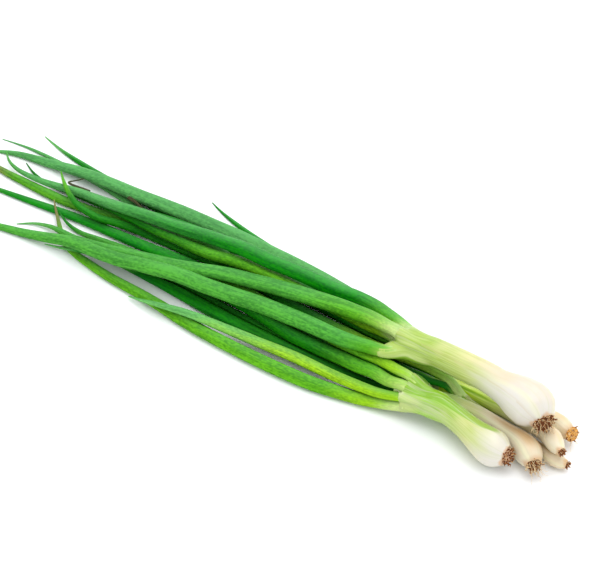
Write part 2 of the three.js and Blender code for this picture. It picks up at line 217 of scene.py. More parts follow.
def stored(geometry, name, value, vector=False):
    """The geometry with a value stored under a name at each of its points."""
    return geometry.node(
        "GeometryNodeStoreNamedAttribute",
        {"data_type": "FLOAT_VECTOR" if vector else "FLOAT"},
        {0: geometry, "Name": name, "Value": value},
    )


def attribute(wire, name, vector=False):
    """What is stored under a name."""
    kind = "FLOAT_VECTOR" if vector else "FLOAT"
    return wire.node("GeometryNodeInputNamedAttribute", {"data_type": kind}, {"Name": name})


def sweep(given):
    """A tube around the route's points: a ring of Sides at each of so many Stations. It stores
    where a point is: its station's centre and heading, its turn round the tube, and its reach,
    the distance from the fork."""
    points = given["Route"].node("GeometryNodeMeshToPoints", values={0: given["Route"]})
    curve = points.node("GeometryNodePointsToCurves", values={0: points})
    curve = curve.node("GeometryNodeCurveSplineType", {"spline_type": "CATMULL_ROM"}, {0: curve})
    curve = curve.node("GeometryNodeResampleCurve", values={0: curve, "Count": given["Stations"]})
    curve = stored(curve, "centre", curve.node("GeometryNodeInputPosition"), True)
    curve = stored(curve, "heading", curve.node("GeometryNodeInputTangent"), True)
    length = curve.node("GeometryNodeSplineParameter", out="Length")
    curve = stored(curve, "reach", length - given["Fork"])
    curve = stored(curve, "along", curve.node("GeometryNodeSplineParameter", out="Factor"))
    circle = curve.node("GeometryNodeCurvePrimitiveCircle", values={"Resolution": given["Sides"]})
    turn = curve.node("GeometryNodeInputIndex") / given["Sides"] * (2 * math.pi)
    circle = stored(circle, "turn", turn)
    return curve.node(
        "GeometryNodeCurveToMesh", values={0: curve, "Profile Curve": circle, "Fill Caps": True}
    )


# nothing goes lower than this: the surface presses a skin flat
PRESSED = (-1.0, -1.0, 0.00002)


def sideways(tube):
    """A tube's own directions, level across it and up over it."""
    heading = attribute(tube, "heading", True)
    across = tube.vector_maths("CROSS_PRODUCT", (0, 0, 1), heading)
    across = tube.vector_maths("NORMALIZE", across)
    return across, tube.vector_maths("CROSS_PRODUCT", heading, across)


def set_section(tube, wide, thick):
    """Moves each ring's points to so far across from and over their centre."""
    across, over = sideways(tube)
    place = attribute(tube, "centre", True) + across * wide + over * thick
    place = tube.vector_maths("MAXIMUM", place, PRESSED)
    return tube.node("GeometryNodeSetPosition", values={0: tube, "Position": place})


GIRTH = 0.004  # the radius at which the fibre coordinates wrap round a tube


def fibre_of(tube):
    """Coordinates that run round and along a tube, in metres, with no seam."""
    turn = attribute(tube, "turn")
    return tube.node(
        "ShaderNodeCombineXYZ",
        values={
            0: tube.maths("COSINE", turn) * GIRTH,
            1: tube.maths("SINE", turn) * GIRTH,
            2: attribute(tube, "reach"),
        },
    )


leaf_tree, given = geometry_tree(
    "hollow leaf",
    {
        "Route": "Geometry",
        "Stations": "Int",
        "Sides": "Int",
        "Fork": "Float",
        "Channel": "Float",
        "Channel Turn": "Float",
        "Twist": "Float",
        "Dents": "Float",
        "Seed": "Float",
        "Material": "Material",
    },
)
tube = sweep(given)
tube = stored(tube, "fibre", fibre_of(tube), True)
turn, along = attribute(tube, "turn"), attribute(tube, "along")
facing = tube.maths("COSINE", turn - given["Channel Turn"] - given["Twist"] * along)
facing = tube.maths("MAXIMUM", facing, 0.0)
drift = tube.node(
    "ShaderNodeCombineXYZ",
    values={
        0: tube.maths("COSINE", turn) * 0.5,
        1: tube.maths("SINE", turn) * 0.5 + given["Seed"],
        2: attribute(tube, "reach") * 30.0,
    },
)
dent = (drift.noise(1.0, 3.0) - 0.5) * given["Dents"]
share = 1.0 + dent - facing ** 4.0 * given["Channel"] * attribute(tube, "reach").smooth(0.0, 0.06)
wide = tube.maths("COSINE", turn) * attribute(tube, "half_width") * share
thick = tube.maths("SINE", turn) * attribute(tube, "half_thickness") * share
close_tree(set_section(tube, wide, thick), given["Material"])


def cad_rings(node):
    """A CAD tube's rings from the end nearest the bulbs: centres, half widths, half thicknesses."""
    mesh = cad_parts[node].data
    corners = np.empty(len(mesh.vertices) * 3)
    mesh.vertices.foreach_get("co", corners)
    places, which = np.unique(np.round(corners.reshape(-1, 3), 6), axis=0, return_inverse=True)
    which = which.ravel()
    linked = [set() for _ in places]
    for edge in mesh.edges:
        a, b = (int(which[v]) for v in edge.vertices)
        linked[a].add(b)
        linked[b].add(a)
    # a corner of a ring has six neighbours, and the pole that closes each end has more
    poles = [v for v in range(len(places)) if len(linked[v]) > 6]
    start = max(poles, key=lambda v: places[v][0])
    seen, level, rings = {start}, linked[start], []
    while len(level) > 1:
        rings.append(places[sorted(level)])
        seen |= level
        level = set().union(*(linked[v] for v in level)) - seen
    centres = np.array([ring.mean(axis=0) for ring in rings])
    heading = np.gradient(centres, axis=0)
    across = np.cross((0, 0, 1), heading)
    across /= np.linalg.norm(across, axis=1)[:, None]
    over = np.cross(heading, across)
    over /= np.linalg.norm(over, axis=1)[:, None]

    def halves(axes):
        spans = [(ring - centre) @ axis for ring, centre, axis in zip(rings, centres, axes)]
        return np.array([math.sqrt(2 * np.mean(span**2)) for span in spans])

    return centres, halves(across), halves(over)


def run_tree(name, tree, centres, widths, thicknesses, values):
    """Lays a tree's shape along a route and keeps the result as a plain mesh."""
    mesh = bpy.data.meshes.new(name)
    mesh.from_pydata([tuple(map(float, centre)) for centre in centres], [], [])
    for label, numbers in (("half_width", widths), ("half_thickness", thicknesses)):
        layer = mesh.attributes.new(label, "FLOAT", "POINT")
        layer.data.foreach_set("value", np.asarray(numbers, np.float32))
    route = add_object(name + " route", mesh)
    modifier = route.modifiers.new("shape", "NODES")
    modifier.node_group = tree
    for item in tree.interface.items_tree:
        if item.in_out == "INPUT" and item.name in values:
            modifier[item.identifier] = values[item.name]
    evaluated = route.evaluated_get(bpy.context.evaluated_depsgraph_get())
    piece = add_object(name, bpy.data.meshes.new_from_object(evaluated))
    piece.data.name = name
    bpy.data.objects.remove(route)
    return piece


def new_material(name):
    material = bpy.data.materials.new(name)
    material.use_nodes = True
    return material, Wire(material.node_tree), material.node_tree.nodes["Principled BSDF"]


def retinted(colour, hue=0.5, saturation=1.0, value=1.0):
    return colour.node(
        "ShaderNodeHueSaturation",
        values={"Hue": hue, "Saturation": saturation, "Value": value, "Color": colour},
    )


def raised(height, strength, distance):
    """A bump that stands so far out where the height is 1."""
    return height.node(
        "ShaderNodeBump", values={"Strength": strength, "Distance": distance, "Height": height}
    )


def finish_with(shader, **wires):
    for label, wire in wires.items():
        shader.id_data.links.new(wire.socket, shader.inputs[label.replace("_", " ")])


def rgb(red, green, blue):
    """A colour as it looks on a screen, 0 to 255, in linear light."""

    def linear(c):
        c /= 255
        return c / 12.92 if c <= 0.04045 else ((c + 0.055) / 1.055) ** 2.4

    return (linear(red), linear(green), linear(blue), 1.0)


SHEATH_PALE = rgb(196, 212, 140)
SHEATH_GREEN = rgb(150, 190, 78)
# the pale green of wax bloom, laid on as a painted sheen on each leaf's upper side, where the
# softboxes light it
WAX_AND_SHEEN = rgb(94, 164, 96)


def leaf_material(name, young, middle, old, tip, green_from, green_to, wax_and_sheen_amount, seed):
    """Leaf skin: pale at the fork, then young green, then the middle and old greens, and a tip of
    its own colour. A dull wax bloom and a painted sheen lighten the side that faces up and away,
    where the light falls."""
    material, page, shader = new_material(name)
    fibre = page.node("ShaderNodeAttribute", {"attribute_name": "fibre"}, out="Vector")
    reach = page.node("ShaderNodeAttribute", {"attribute_name": "reach"}, out="Fac")
    along = page.node("ShaderNodeAttribute", {"attribute_name": "along"}, out="Fac")
    shifted = fibre + (seed * 0.37, seed * 0.11, 0.0)
    veins = (shifted * (1.0, 1.0, 0.02)).noise(2600, 2.0)
    broad = (shifted * (1.0, 1.0, 0.08)).noise(420, 3.0)
    patches = (shifted * (1.0, 1.0, 0.35)).noise(110, 3.0)
    edge = reach + (broad - 0.5) * 0.02
    colour = edge.smooth(0.0, green_from).mix(SHEATH_PALE, SHEATH_GREEN)
    colour = edge.smooth(green_from * 0.4, green_to * 0.5).mix(colour, young)
    colour = edge.smooth(green_to * 0.4, green_to).mix(colour, middle)
    colour = (along + (patches - 0.5) * 0.3).smooth(0.4, 0.85).mix(colour, old)
    colour = (along + (broad - 0.5) * 0.04).smooth(0.9, 0.97).mix(colour, tip)
    speckles = (shifted * (1.0, 1.0, 0.5)).noise(900, 1.0)
    lighter = retinted(colour, hue=0.49, value=1.32)
    darker = retinted(colour, value=0.68)
    mottled = (veins * 0.3 + broad * 0.35 + speckles * 0.35).smooth(0.39, 0.61).mix(darker, lighter)
    colour = reach.smooth(0.005, 0.06, 0.4, 1.0).mix(colour, mottled)
    # painted sheen: the wax colour lies only on the side that faces up and away, where the light
    # from behind and above falls
    upper = page.vector_maths("DOT_PRODUCT", fibre, (-0.6 / GIRTH, 0.8 / GIRTH, 0.0))
    wax_and_sheen = upper.smooth(-0.1, 1.0) * (patches * 0.5 + broad * 0.8) * wax_and_sheen_amount
    colour = wax_and_sheen.mix(colour, WAX_AND_SHEEN)
    height = veins * 0.5 + broad
    bump = raised(height, 0.4, 0.0001)
    finish_with(shader, Base_Color=colour, Normal=bump, Roughness=patches * 0.2 + 0.4)
    shader.inputs["Specular IOR Level"].default_value = 0.07
    shader.inputs["Subsurface Weight"].default_value = 0.05
    shader.inputs["Subsurface Radius"].default_value = (0.3, 1.0, 0.1)
    shader.inputs["Subsurface Scale"].default_value = 0.002
    return material


LIME, FRESH, SAGE = rgb(132, 182, 24), rgb(76, 154, 22), rgb(62, 144, 46)
EMERALD, DEEP, DARK = rgb(4, 123, 24), rgb(3, 108, 8), rgb(1, 88, 4)
MINT, SEA, OLIVE, DRY = rgb(92, 164, 84), rgb(74, 146, 76), rgb(66, 140, 24), rgb(120, 104, 66)
# each leaf's young, middle and old greens and its tip's colour, where the first and the last of the
# greens begin, and how much wax bloom and painted sheen lighten its upper side
LEAF_GREENS = {
    "top_leaf_1": (SEA, SEA, SEA, SEA, 0.01, 0.03, 0.6),
    "top_leaf_2": (LIME, FRESH, DEEP, DEEP, 0.035, 0.06, 0.2),
    "top_leaf_3": (FRESH, EMERALD, SEA, SAGE, 0.03, 0.06, 0.5),
    "top_leaf_4": (FRESH, SAGE, SAGE, MINT, 0.03, 0.09, 0.4),
    "top_leaf_5": (FRESH, SAGE, SAGE, FRESH, 0.012, 0.04, 0.3),
    "front_leaf_1": (LIME, FRESH, FRESH, DRY, 0.035, 0.06, 0.3),
    "front_leaf_2": (LIME, LIME, MINT, MINT, 0.012, 0.03, 0.6),
    "front_leaf_3": (FRESH, DEEP, EMERALD, MINT, 0.022, 0.08, 0.2),
    "front_leaf_4": (LIME, FRESH, DEEP, FRESH, 0.018, 0.05, 0.2),
    "middle_leaf_1": (DEEP, DARK, EMERALD, SAGE, 0.01, 0.03, 0.08),
    "middle_leaf_2": (FRESH, DEEP, DARK, DARK, 0.008, 0.04, 0.15),
    "right_leaf_1": (FRESH, DEEP, DEEP, FRESH, 0.02, 0.04, 0.15),
    "right_leaf_2": (FRESH, EMERALD, EMERALD, SAGE, 0.02, 0.04, 0.3),
    "under_leaf_1": (DEEP, DEEP, SAGE, DEEP, 0.01, 0.03, 0.3),
    "under_leaf_2": (LIME, DEEP, OLIVE, DRY, 0.02, 0.11, 0.3),
    "back_leaf_1": (DEEP, DEEP, EMERALD, MINT, 0.01, 0.05, 0.5),
    "back_leaf_2": (DEEP, DEEP, SEA, SEA, 0.01, 0.05, 0.4),
    "back_leaf_3": (DEEP, DEEP, EMERALD, EMERALD, 0.01, 0.05, 0.5),
    "back_leaf_4": (FRESH, EMERALD, DEEP, DEEP, 0.01, 0.08, 0.2),
}
LEAF_SIDES, LEAF_STATION = 36, 0.0017  # a leaf's corners round a ring, and its rings' spacing
INSIDE_STEM = 0.026  # how far down inside the stem a leaf begins
FULL_TO, FULL_FADE = 0.006, 0.03  # a leaf is full this far past the fork, then thins over this
PLANTS = ("top", "front", "middle", "right", "under", "back")
stems = {plant: cad_rings(f"{plant}_bulb_and_stem") for plant in PLANTS}


def walk(points):
    """The distance along a row of points, from the first."""
    return np.concatenate([[0], np.cumsum(np.linalg.norm(np.diff(points, axis=0), axis=1))])


def at_distance(points, distances):
    """The places along a row of points at these distances from the first."""
    marks = walk(points)
    return np.column_stack([np.interp(distances, marks, points[:, axis]) for axis in range(3)])


leaf_routes, leaves = {}, {}
for number, (name, look) in enumerate(LEAF_GREENS.items()):
    centres, widths, thicknesses = cad_rings(name)
    stem_centres, stem_radii, _ = stems[name.split("_")[0]]
    stem_length = walk(stem_centres)[-1]
    fork, fork_radius = stem_centres[-1], stem_radii[-1]
    aside = centres[0] - fork
    aside[0] = 0  # only across the stem
    # the part inside the stem, bending out from its middle to the leaf's own place at the fork
    depths = np.array([1.0, 0.65, 0.3]) * INSIDE_STEM
    inner = at_distance(stem_centres, stem_length - depths) + np.outer([0.25, 0.6, 0.9], aside)
    inner_half = fork_radius * np.array([0.3, 0.38, 0.46])
    reach = walk(np.vstack([inner[-1:], centres]))[1:]
    # near the fork the leaf keeps most of its full width, and is nearly as thick as it is wide
    fullness = 1 - np.clip((reach - FULL_TO) / FULL_FADE, 0, 1)
    fullness = fullness * fullness * (3 - 2 * fullness)
    full_thickness, full_width = widths.max() * 0.66, widths.max() * 0.82
    thicknesses = thicknesses + np.maximum(full_thickness - thicknesses, 0) * fullness
    widths = widths + np.maximum(full_width - widths, 0) * fullness
    route = np.vstack([inner, centres])
    wide = np.concatenate([inner_half, widths])
    thick = np.concatenate([inner_half, thicknesses])
    length = walk(route)[-1]
    leaf_routes[name] = centres, widths, thicknesses
    leaves[name] = run_tree(
        name + "_skin", leaf_tree, route, wide, thick,
        {
            "Stations": int(length / LEAF_STATION),
            "Sides": LEAF_SIDES,
            "Fork": float(walk(route)[len(inner)]),
            "Channel": 0.22,
            # every leaf's channel starts in its own place and winds its own way
            "Channel Turn": math.radians(60 + 40 * math.sin(number * 2.4)),
            "Twist": math.radians(50 * math.sin(number * 1.7)),
            "Dents": 0.16,
            "Seed": number * 7.3,
            "Material": leaf_material(name + " skin", *look, number),
        },
    )
    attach(leaves[name], "root")
    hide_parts(name)

# ---------------------------------------------------------------------------------------------
# The bulbs and stems: white bulbs that draw in to round stems of rolled sheaths. At the fork the
# sheath clings to the leaves that grow out of it, with a thin pale web between them.
# ---------------------------------------------------------------------------------------------

stem_tree, given = geometry_tree(
    "bulb and stem",
    {
        "Route": "Geometry",
        "Leaves": "Object",
        "Stations": "Int",
        "Sides": "Int",
        "Fork": "Float",
        "Mouth": "Float",
        "Sheath Edge": "Float",
        "Edge Turn": "Float",
        "Dents": "Float",
        "Seed": "Float",
        "Material": "Material",
    },
)
FAR = 0.04  # from beyond every leaf at the fork, rays look in for the outermost skin
CLING = 0.0002  # how far outside that skin the sheath lies
MOUTH_RAGGED = 0.007  # how far the sheath's torn edge runs in and out
MOUTH_CLOSES = 0.003  # how soon past that edge the sheath has drawn in under the leaves
EDGE_SPIRAL = 4.0  # how fast the outer sheath's edge winds round the stem, in radians a metre
tube = sweep(given)
tube = stored(tube, "fibre", fibre_of(tube), True)
turn, reach = attribute(tube, "turn"), attribute(tube, "reach")
across, over = sideways(tube)
outward = across * tube.maths("COSINE", turn) + over * tube.maths("SINE", turn)
grown = tube.node("GeometryNodeObjectInfo", values={"Object": given["Leaves"]}, out="Geometry")
ray = {
    "Target Geometry": grown,
    "Source Position": attribute(tube, "centre", True) + outward * FAR,
    "Ray Direction": outward * -1.0,
    "Ray Length": FAR,
}
hit = tube.node("GeometryNodeRaycast", values=ray, out="Is Hit")
skin = FAR - tube.node("GeometryNodeRaycast", values=ray, out="Hit Distance") + CLING
web_floor = attribute(tube, "half_width") * 0.5
skin = tube.node("GeometryNodeSwitch", {"input_type": "FLOAT"}, {0: hit, 1: web_floor, 2: skin})
skin = tube.maths("MAXIMUM", skin, web_floor)
clinging = reach.smooth(-0.012, 0.002)
radius = attribute(tube, "half_width")
radius = radius + (tube.maths("MAXIMUM", skin, radius * 0.6) - radius) * clinging
drift = tube.node(
    "ShaderNodeCombineXYZ",
    values={
        0: tube.maths("COSINE", turn) * 0.6,
        1: tube.maths("SINE", turn) * 0.6 + given["Seed"],
        2: reach * 25.0,
    },
)
radius = tube.maths("MAXIMUM", radius, skin)
radius = tube.node("GeometryNodeBlurAttribute", values={"Value": radius, "Iterations": 6})
radius = radius * (1.0 + (drift.noise(1.0, 2.0) - 0.5) * given["Dents"])
radius = tube.maths("MAXIMUM", radius, skin)
ragged = ((fibre_of(tube) + (0.0, 0.0, 9.0)) * (1.0, 1.0, 0.2)).noise(260, 1.0) - 0.5
edge = given["Mouth"] + ragged * MOUTH_RAGGED
nose = reach.smooth(edge, edge + MOUTH_CLOSES)
radius = radius * (1.0 - nose * 0.85)
# lap goes from 0 to 1 once round the stem, from the outer sheath's edge, and is never below 0
lap = (turn - given["Edge Turn"] - reach * EDGE_SPIRAL) / (2 * math.pi) + 4.0
lap = tube.maths("FRACT", lap)
radius = radius + (1.0 - lap) * given["Sheath Edge"]
tube = stored(tube, "lap", lap)
web = tube.node("GeometryNodeBlurAttribute", values={"Value": 1.0 - hit, "Iterations": 3})
tube = stored(tube, "web", web * reach.smooth(0.0, 0.004))
wide = tube.maths("COSINE", turn) * radius
thick = tube.maths("SINE", turn) * radius
close_tree(set_section(tube, wide, thick), given["Material"])


def stem_material(name, length, white, green, green_start, tan, dry_skin_and_shade_amount, blade, seed):
    """Bulb white that turns pale green up the stem, in fine parallel veins. The outer leaf's lime
    green runs down the stem in a pointed blade, which has a turn, a length and a width."""
    material, page, shader = new_material(name)
    fibre = page.node("ShaderNodeAttribute", {"attribute_name": "fibre"}, out="Vector")
    reach = page.node("ShaderNodeAttribute", {"attribute_name": "reach"}, out="Fac")
    web = page.node("ShaderNodeAttribute", {"attribute_name": "web"}, out="Fac")
    lap = page.node("ShaderNodeAttribute", {"attribute_name": "lap"}, out="Fac")
    shifted = fibre + (seed * 0.31, seed * 0.17, 0.0)
    veins = (shifted * (1.0, 1.0, 0.02)).noise(1900, 2.0)
    broad = (shifted * (1.0, 1.0, 0.05)).noise(330, 3.0)
    patches = (shifted * (1.0, 1.0, 0.4)).noise(90, 2.0)
    up = reach + (broad - 0.5) * 0.03
    colour = up.smooth(green_start, green_start * 0.55).mix(white, rgb(190, 198, 124))
    colour = up.smooth(green_start * 0.75, green_start * 0.1).mix(colour, green)
    greener = retinted(colour, 0.51, 1.45, 0.8)
    green_veins = veins.smooth(0.44, 0.6) * up.smooth(green_start, green_start * 0.3)
    colour = green_veins.mix(colour, greener)
    colour = (broad.smooth(0.52, 0.68) * 0.3).mix(colour, rgb(232, 232, 184))
    colour = (patches.smooth(0.5, 0.75) * 0.35).mix(colour, rgb(226, 208, 166))
    blade_turn, blade_length, blade_width = math.radians(blade[0]), blade[1], blade[2]
    middle = (math.cos(blade_turn) / GIRTH, math.sin(blade_turn) / GIRTH, 0.0)
    off_middle = 1.0 - page.vector_maths("DOT_PRODUCT", fibre, middle)
    within = (reach + blade_length) * (blade_width / blade_length) - off_middle
    within = within + (broad - 0.5) * 0.1
    colour = (within.smooth(0.0, 0.05) * (veins * 0.4 + 0.65)).mix(colour, BLADE)
    # a dry tan outer skin left on the upper side of the neck; on the bulbs that lie under the top
    # bulb the same tan is also painted shade in the crease against it
    upper = page.vector_maths("DOT_PRODUCT", fibre, (-0.5 / GIRTH, 0.86 / GIRTH, 0.0))
    neck = (reach + (broad - 0.5) * 0.02).smooth(-length, -length + 0.012)
    neck = neck * (reach + (broad - 0.5) * 0.03).smooth(-length * 0.7, -length * 0.35, 1.0, 0.0)
    dry_skin_and_shade = upper.smooth(0.35, 0.95) * neck * (patches * 0.8 + veins * 0.7) * dry_skin_and_shade_amount
    colour = dry_skin_and_shade.mix(colour, rgb(210, 162, 96))
    colour = (web * 0.6).mix(colour, rgb(214, 222, 176))
    # the edge of the outer sheath, and faint veins that run on down over the bulb
    colour = (veins.smooth(0.5, 0.7) * 0.4).mix(colour, rgb(200, 200, 166))
    colour = (lap.smooth(0.0, 0.03, 1.0, 0.0) * 0.35).mix(colour, rgb(198, 180, 138))
    root_end = (reach + (broad - 0.5) * 0.004).smooth(-length, -length + tan, 1.0, 0.0)
    colour = (root_end * 0.6).mix(colour, rgb(200, 146, 84))
    bump = raised(veins * 0.4 + broad, 0.35, 0.00015)
    finish_with(shader, Base_Color=colour, Normal=bump, Roughness=patches * 0.2 + 0.22)
    shader.inputs["Specular IOR Level"].default_value = 0.45
    shader.inputs["Subsurface Weight"].default_value = 0.25
    shader.inputs["Subsurface Radius"].default_value = (1.0, 0.9, 0.6)
    shader.inputs["Subsurface Scale"].default_value = 0.003
    return material


BLADE = rgb(122, 168, 12)
STEM_SIDES, STEM_STATION = 72, 0.0009
WHITE, CREAM, BEIGE = rgb(214, 208, 198), rgb(218, 206, 180), rgb(216, 198, 168)
# how far past the fork each sheath reaches, its bulb's white, its green at the fork, where the
# green begins (from the fork), how far the tan goes up from the roots, how much dry skin is left on
# the neck, with painted shade in the crease where a bulb lies under the top bulb, and its lime
# blade: the turn in degrees, how far down the stem it goes, and its width
SHEATHS = {
    "top": (0.009, WHITE, rgb(162, 186, 84), -0.063, 0.0015, 0.4, (-48, 0.04, 0.22)),
    "front": (0.012, WHITE, rgb(146, 186, 70), -0.056, 0.001, 0.1, (112, 0.048, 0.45)),
    "middle": (0.006, CREAM, rgb(166, 190, 112), -0.035, 0.003, 1.05, (20, 0.02, 0.1)),
    "right": (0.01, CREAM, rgb(190, 222, 28), -0.042, 0.002, 0.5, (60, 0.035, 0.05)),
    "under": (0.004, BEIGE, rgb(150, 160, 90), -0.04, 0.002, 0.6, (60, 0.02, 0.1)),
    "back": (0.006, CREAM, rgb(128, 170, 22), -0.05, 0.005, 0.6, (150, 0.03, 0.3)),
}
for number, (plant, (centres, radii, _)) in enumerate(stems.items()):
    mouth, *look = SHEATHS[plant]
    own = [name for name in leaves if name.startswith(plant)]
    bundle = bpy.data.meshes.new("bundle")
    corners, faces = [], []
    for name in own:
        mesh = leaves[name].data
        start = len(corners)
        corners += [tuple(vertex.co) for vertex in mesh.vertices]
        faces += [[start + v for v in polygon.vertices] for polygon in mesh.polygons]
    bundle.from_pydata(corners, [], faces)
    grown = add_object("bundle", bundle)
    # the guide runs on past the fork, through the middle of the leaves
    ahead = [at_distance(leaf_routes[name][0], [0.008, 0.016, 0.024]) for name in own]
    guide = np.vstack([centres, np.mean(ahead, axis=0)])
    stem_length = walk(centres)[-1]
    guide_end = stem_length + mouth + MOUTH_RAGGED
    guide = np.vstack([guide[walk(guide) < guide_end], at_distance(guide, [guide_end])])
    guide_radii = np.concatenate([radii, np.full(len(guide) - len(radii), radii[-1])])
    piece = run_tree(
        f"{plant}_bulb_and_stem_skin", stem_tree, guide, guide_radii, guide_radii,
        {
            "Leaves": grown,
            "Stations": int(walk(guide)[-1] / STEM_STATION),
            "Sides": STEM_SIDES,
            "Fork": float(stem_length),
            "Mouth": mouth,
            "Sheath Edge": 0.00018,
            "Edge Turn": 0.9 + 1.3 * number,
            "Dents": 0.05,
            "Seed": 3.1 * number,
            "Material": stem_material(plant + " stem skin", stem_length, *look, number),
        },
    )
    bpy.data.objects.remove(grown)
    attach(piece, "root")
    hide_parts(f"{plant}_bulb_and_stem")

# ---------------------------------------------------------------------------------------------
# The roots: a brown or tan basal plate on each bulb's end, stiff dark stubs where most roots were
# cut or have dried and curled, and a few long pale hairs. They grew out of the plate.
# ---------------------------------------------------------------------------------------------

root_tree, given = geometry_tree(
    "root tuft",
    {
        "Place": "Vector",
        "Heading": "Vector",
        "Plate Radius": "Float",
        "Plate Height": "Float",
        "Stubs": "Int",
        "Stub Length": "Float",
        "Stub Thickness": "Float",
        "Hairs": "Int",
        "Hair Length": "Float",
        "Hair Thickness": "Float",
        "Spread": "Float",
        "Curl": "Float",
        "Seed": "Int",
        "Material": "Material",
    },
)
start = given["Place"]
GOLDEN_ANGLE = 2.4  # radians from one strand to the next, which spreads them evenly


def upright_along(direction):
    """The turn that sets what stands upright along a direction."""
    return start.node("FunctionNodeAlignRotationToVector", {"axis": "Z"}, {"Vector": direction})


def scatter(place):
    """A random direction and distance for each place."""
    noise = start.node("ShaderNodeTexNoise", values={"Vector": place, "Scale": 1.0}, out="Color")
    return noise - (0.5, 0.5, 0.5)


def set_in_place(geometry):
    """Moves what was made upright at the origin to its place on the bulb's end."""
    return start.node(
        "GeometryNodeTransform",
        values={0: geometry, "Translation": start, "Rotation": upright_along(given["Heading"])},
    )


def strands(kind, sides, tone, curls):
    """Strands of a kind: they lean out from the plate's middle, curl more and more, and narrow."""
    count, length = given[kind + "s"], given[kind + " Length"]
    index = start.node("GeometryNodeInputIndex")
    angle = index * GOLDEN_ANGLE + given["Seed"] + tone * 3.0
    side = start.node(
        "ShaderNodeCombineXYZ",
        values={0: start.maths("COSINE", angle), 1: start.maths("SINE", angle)},
    )
    side = side * ((index + 0.5) / count) ** 0.5
    points = start.node(
        "GeometryNodePoints",
        values={"Count": count, "Position": side * given["Plate Radius"] * 0.9},
    )
    strand = index + given["Seed"] * 31.0 + tone * 17.0
    points = stored(points, "strand", strand)
    lean = upright_along(side * given["Spread"] + (0, 0, 1))
    line = start.node("GeometryNodeCurvePrimitiveLine", values={"End": (0.0, 0.0, 1.0)})
    line = start.node("GeometryNodeResampleCurve", values={0: line, "Count": 12})
    share = start.node(
        "FunctionNodeRandomValue",
        {"data_type": "FLOAT"},
        {"Min": 0.45, "Max": 1.0, "Seed": given["Seed"]},
    )
    grown = start.node(
        "GeometryNodeInstanceOnPoints",
        values={0: points, "Instance": line, "Rotation": lean, "Scale": share * length},
    )
    grown = start.node("GeometryNodeRealizeInstances", values={0: grown})
    tip = start.node("GeometryNodeSplineParameter", out="Factor")
    place = start.node(
        "ShaderNodeCombineXYZ",
        values={0: attribute(start, "strand") * 5.3, 1: tip * curls, 2: tone},
    )
    bend = scatter(place) * (length * given["Curl"]) * tip
    grown = start.node("GeometryNodeSetPosition", values={0: grown, "Offset": bend})
    grown = stored(stored(set_in_place(grown), "tip", tip), "tone", tone)
    # strands that would go into the surface lie along it
    thick = given[kind + " Thickness"] * (1.0 - tip * 0.7)
    here = start.node("GeometryNodeInputPosition")
    apart = start.node("ShaderNodeSeparateXYZ", values={0: here}, out="Z")
    sunk = start.maths("MAXIMUM", thick - apart, 0.0)
    rise = start.node("ShaderNodeCombineXYZ", values={2: sunk})
    grown = start.node("GeometryNodeSetPosition", values={0: grown, "Offset": rise})
    ring = start.node("GeometryNodeCurvePrimitiveCircle", values={"Resolution": sides})
    return start.node(
        "GeometryNodeCurveToMesh",
        values={0: grown, "Profile Curve": ring, "Scale": thick, "Fill Caps": True},
    )


plate = start.node("GeometryNodeMeshUVSphere", values={"Segments": 20, "Rings": 10, "Radius": 1.0})
flat = start.node(
    "ShaderNodeCombineXYZ",
    values={0: given["Plate Radius"], 1: given["Plate Radius"], 2: given["Plate Height"]},
)
plate = start.node("GeometryNodeTransform", values={0: plate, "Scale": flat})
lumps = scatter(start.node("GeometryNodeInputPosition") * 900.0) * given["Plate Height"]
plate = start.node("GeometryNodeSetPosition", values={0: plate, "Offset": lumps})
plate = stored(set_in_place(plate), "tone", 0.0)
tuft = start.node(
    "GeometryNodeJoinGeometry",
    values={0: [plate, strands("Stub", 7, 0.5, 3.0), strands("Hair", 4, 1.0, 2.0)]},
)
close_tree(tuft, given["Material"])


def root_material(name, plate, seed):
    """Dry root skin: brown patches on the plate, dark stubs, and straw on their tips and hairs."""
    material, page, shader = new_material(name)
    tone = page.node("ShaderNodeAttribute", {"attribute_name": "tone"}, out="Fac")
    tip = page.node("ShaderNodeAttribute", {"attribute_name": "tip"}, out="Fac")
    place = page.node("ShaderNodeTexCoord", out="Object")
    grain = place.noise(1500 + seed, 3.0)
    plate = grain.smooth(0.45, 0.7).mix(plate, rgb(120, 66, 30))
    stub = grain.smooth(0.35, 0.65).mix(rgb(74, 34, 16), rgb(150, 86, 44))
    hair = grain.smooth(0.3, 0.7).mix(rgb(214, 178, 122), rgb(240, 220, 180))
    colour = tone.smooth(0.1, 0.4).mix(plate, stub)
    colour = (tip + (grain - 0.5) * 0.8).smooth(0.55, 1.0).mix(colour, rgb(196, 146, 92))
    colour = tone.smooth(0.6, 0.9).mix(colour, hair)
    bump = raised(grain, 0.6, 0.0002)
    finish_with(shader, Base_Color=colour, Normal=bump, Roughness=grain * 0.3 + 0.6)
    shader.inputs["Specular IOR Level"].default_value = 0.2
    return material


PLATE_BROWN, PLATE_TAN = rgb(96, 54, 28), rgb(224, 164, 84)
PLATE_PALE = rgb(212, 174, 140)
# each tuft's stubs and hairs: how many, and how long against the CAD tuft's depth; how far they
# spread, the plate's radius against the CAD tuft's, and the plate's colour
ROOTS = {
    "top": (30, 0.66, 34, 1.7, 0.9, 1.0, PLATE_BROWN),
    "front": (28, 0.75, 4, 0.9, 0.9, 0.85, PLATE_PALE),
    "middle": (16, 0.5, 40, 1.15, 0.7, 0.6, PLATE_BROWN),
    "right": (12, 0.45, 4, 0.8, 0.7, 0.75, PLATE_BROWN),
    "under": (8, 0.5, 3, 0.7, 0.7, 0.7, PLATE_BROWN),
    "back": (9, 0.5, 16, 1.0, 1.1, 0.85, PLATE_TAN),
}
